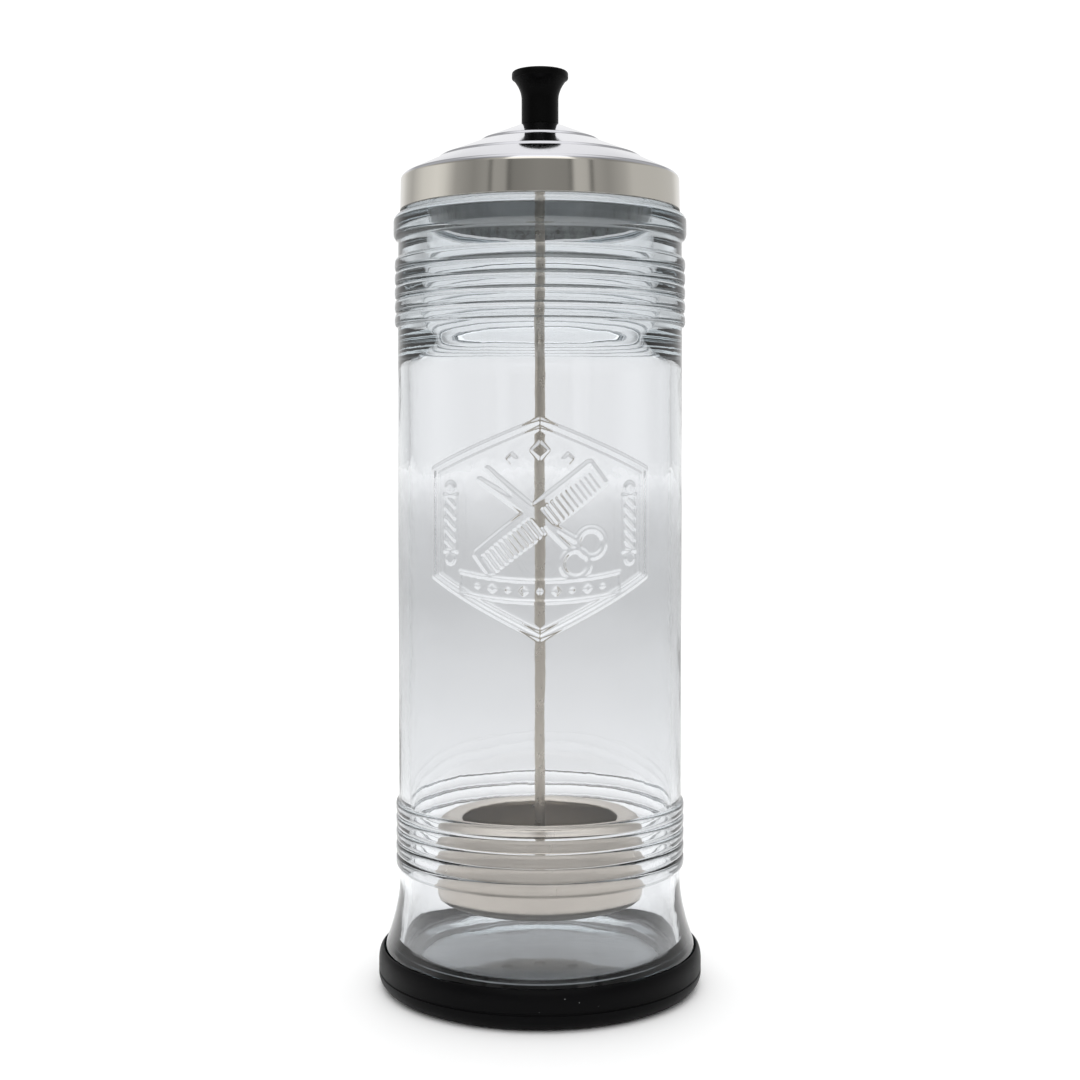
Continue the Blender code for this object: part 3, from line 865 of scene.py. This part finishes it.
def makeLid(brushed, mirror, dull):
    piece = lathe("lidCover", lidOutline(), lid["segments"], 30)
    piece.data.materials.append(brushed)
    piece.data.materials.append(mirror)
    piece.data.materials.append(dull)
    skirtTop = (lid["coneFoot"][1] - 1.2) * mm
    skirtInside = (lid["skirt"] - 0.5 * lid["sheet"]) * mm
    for face in piece.data.polygons:
        outward = face.center.x * face.normal.x + face.center.y * face.normal.y
        under = face.normal.z < -0.2 or (outward < 0 and math.hypot(*face.center[:2]) < skirtInside)
        top = face.center.z > skirtTop
        face.material_index = 2 if under else int(top)
    settle(piece, "lid", "lid", "lid_cover")
    print("lid ready")


# knob

knob = {
    "bottom": 264.8,
    "top": 281.6,
    "stem": 5.7,
    "stemTop": 272.6,
    "flange": 8.7,
    "flangeLow": 278.9,
    "round": 0.9,
    "crown": 0.35,
    "dimple": ((0, 0.25), (1.2, 0.22), (1.6, 0.0)),   # radius and depth of the moulding dimple on top
    "edge": 0.5,
    "hole": 2.9,
    "holeDepth": 10.6,
    "segments": 96,
}


def makeKnob(plastic):
    crown = knob["flange"] - knob["round"]
    points = [(radius, knob["top"] - depth) for radius, depth in knob["dimple"]]
    dimple = points[-1][0]
    for i in range(1, 6):
        share = i / 6
        points.append((dimple + (crown - dimple) * share, knob["top"] - knob["crown"] * share ** 2))
    points += arcPoints((crown, knob["top"] - knob["crown"] - knob["round"]), knob["round"], 90, 0, 6)
    points += arcPoints((knob["flange"] - knob["edge"], knob["flangeLow"] + 0.3), knob["edge"], 0, -50, 4)
    for i in range(1, 13):
        share = i / 12
        radius = knob["stem"] + (knob["flange"] - 0.35 - knob["stem"]) * (1 - share) ** 2
        points.append((radius, knob["flangeLow"] + (knob["stemTop"] - knob["flangeLow"]) * share))
    points += straight(points[-1], (knob["stem"], knob["bottom"] + 0.3), 4)
    points.append((knob["stem"] - 0.3, knob["bottom"]))
    points.append((knob["hole"], knob["bottom"]))
    points.append((knob["hole"], knob["bottom"] + knob["holeDepth"]))
    points.append((0, knob["bottom"] + knob["holeDepth"]))
    piece = lathe("knobGrip", points, knob["segments"], 40)
    piece.data.materials.append(plastic)
    settle(piece, "hanger", "knob", "knob")
    print("knob ready")


# rod, nuts and washers

rod = {
    "radius": 1.6,
    "bottom": 21.2,
    "top": 274.6,
    "chamfer": 0.4,
    "threadPitch": 0.7,
    "threadDepth": 0.22,
    "lowThread": 16.0,
    "highThread": 16.0,
    "segments": 48,
}


def threadPoints(radius, start, end, depth):
    # V grooves from start to end, heights falling
    count = int(abs(start - end) / rod["threadPitch"])
    points = []
    for i in range(count):
        high = start - i * rod["threadPitch"]
        points.append((radius, high))
        points.append((radius, high - rod["threadPitch"] * 0.2))
        points.append((radius - depth, high - rod["threadPitch"] * 0.6))
    return points


def makeRod(steel):
    radius, top, bottom = rod["radius"], rod["top"], rod["bottom"]
    points = [(0, top), (radius - rod["chamfer"], top)]
    points += threadPoints(radius, top - rod["chamfer"], top - rod["highThread"], rod["threadDepth"])
    points.append((radius, top - rod["highThread"]))
    points += straight(points[-1], (radius, bottom + rod["lowThread"]), 30)
    points += threadPoints(radius, bottom + rod["lowThread"], bottom + rod["chamfer"], rod["threadDepth"])
    points += [(radius - rod["chamfer"], bottom), (0, bottom)]
    piece = lathe("pullRod", points, rod["segments"], 25)
    piece.data.materials.append(steel)
    settle(piece, "hanger", "rod", "pull_rod")
    print("rod ready")


nut = {
    "flats": 6.8, "height": 2.4, "bore": 1.9, "thread": 0.2,
    "washer": 0.8, "washerEdge": 0.15, "segments": 48,
}


def makeNut(name, node, steel):
    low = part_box(node)[0][2] / mm
    high = low + nut["height"]
    corner = nut["flats"] / math.sqrt(3)
    deselectAll()
    middle = (0, 0, (low + high) / 2 * mm)
    bpy.ops.mesh.primitive_cylinder_add(
        vertices=6, radius=corner * mm, depth=nut["height"] * mm, location=middle)
    piece = named(name)
    bpy.ops.object.transform_apply(location=True, rotation=True, scale=True)
    flat = nut["flats"] / 2
    slope = (corner - flat) * math.tan(math.radians(30)) + 0.05
    barrel = lathe(name + "Barrel", [
        (0, high + 0.1), (flat - 0.05, high + 0.1), (corner + 0.3, high - slope - 0.15),
        (corner + 0.3, low + slope + 0.15), (flat - 0.05, low - 0.1), (0, low - 0.1)], nut["segments"])
    boolean(piece, barrel, "INTERSECT")
    groove = nut["thread"]
    tap = [(0, high + 0.5), (nut["bore"] + 0.5, high + 0.5), (nut["bore"] + 0.02, high - 0.05)]
    tap += threadPoints(nut["bore"] + groove, high - 0.2, low + 0.2, groove)
    tap += [(nut["bore"] + 0.02, low + 0.05), (nut["bore"] + 0.5, low - 0.5), (0, low - 0.5)]
    boolean(piece, lathe(name + "Tap", tap, nut["segments"]), "DIFFERENCE")
    pick(piece)
    bpy.ops.object.shade_smooth_by_angle(angle=math.radians(30))
    piece.data.materials.append(steel)
    settle(piece, "hanger", "hardware", node)


def makeWasher(name, node, steel):
    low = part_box(node)[0][2] / mm
    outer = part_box(node)[1][0] / mm
    high = low + nut["washer"]
    edge = nut["washerEdge"]
    points = roundedPath([
        (nut["bore"], (low + high) / 2, 0), (nut["bore"], high, edge), (outer, high, edge),
        (outer, low, edge), (nut["bore"], low, edge), (nut["bore"], (low + high) / 2, 0)])
    piece = lathe(name, points, nut["segments"])
    piece.data.materials.append(steel)
    settle(piece, "hanger", "hardware", node)


def makeFixings(steel):
    makeWasher("lidWasher", "lid_washer", steel)
    makeNut("lidNut", "lid_nut", steel)
    makeWasher("basketTopWasher", "basket_top_washer", steel)
    makeNut("basketTopNut", "basket_top_nut", steel)
    makeWasher("basketBottomWasher", "basket_bottom_washer", steel)
    makeNut("basketBottomNut", "basket_bottom_nut", steel)
    print("nuts and washers ready")


# basket

cup = {
    "bottom": 26.0,
    "rim": 52.0,
    "radius": 31.7,
    "sheet": 0.9,
    "corner": 4.2,
    "shoulder": 3.6,
    "lip": 24.0,
    "dip": 0.5,
    "drain": 2.0,
    "drainRings": ((12.0, 6), (22.0, 12)),
    "segments": 160,
}


def cupOutline():
    sheet, rim = cup["sheet"], cup["rim"]
    shoulder = (cup["radius"] - cup["shoulder"], rim - cup["shoulder"])
    corner = (cup["radius"] - cup["corner"], cup["bottom"] + cup["corner"])
    bore = rod["radius"] + 0.3
    edge = (cup["lip"] + sheet / 2, rim - cup["dip"] - sheet / 2)
    points = arcPoints(edge, sheet / 2, 180, 95, 4)
    points += arcPoints(shoulder, cup["shoulder"], 90, 0, 10)
    points += straight(points[-1], (cup["radius"], corner[1] + 0.2), 8)
    points += arcPoints(corner, cup["corner"], 0, -90, 10)
    points.append((bore, cup["bottom"]))
    points.append((bore, cup["bottom"] + sheet))
    points += arcPoints(corner, cup["corner"] - sheet, -90, 0, 8)
    points += straight(points[-1], (cup["radius"] - sheet, shoulder[1] - 0.2), 8)
    points += arcPoints(shoulder, cup["shoulder"] - sheet, 0, 90, 8)
    points += arcPoints(edge, sheet / 2, 265, 180, 4)
    return points


def makeBasket(steel):
    piece = lathe("basketCup", cupOutline(), cup["segments"], 40)
    pegs = []
    for radius, count in cup["drainRings"]:
        for i in range(count):
            angle = turn * i / count
            place = (radius * math.cos(angle) * mm, radius * math.sin(angle) * mm, cup["bottom"] * mm)
            deselectAll()
            bpy.ops.mesh.primitive_cylinder_add(
                vertices=24, radius=cup["drain"] * mm, depth=6 * mm, location=place)
            pegs.append(bpy.context.object)
    boolean(piece, join(pegs, "drainPegs"), "DIFFERENCE")
    pick(piece)
    bpy.ops.object.shade_smooth_by_angle(angle=math.radians(40))
    piece.data.materials.append(steel)
    settle(piece, "hanger", "basket", "basket_cup")
    print("basket ready")


def dressNode(node, finish):
    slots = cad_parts[node].data.materials
    slots.clear()
    slots.append(finish)


makeStudio()
makeGlassJar(sodaGlass())
makeBoot(softPvc())
makeLid(brushedSteel(*steels["skirt"]), mirrorSteel(), dullSteel())
makeKnob(mouldedAbs())
dressNode("knob_insert", brass())
makeRod(brushedSteel(*steels["rod"]))
makeFixings(brushedSteel(*steels["hardware"]))
makeBasket(brushedSteel(*steels["cup"]))
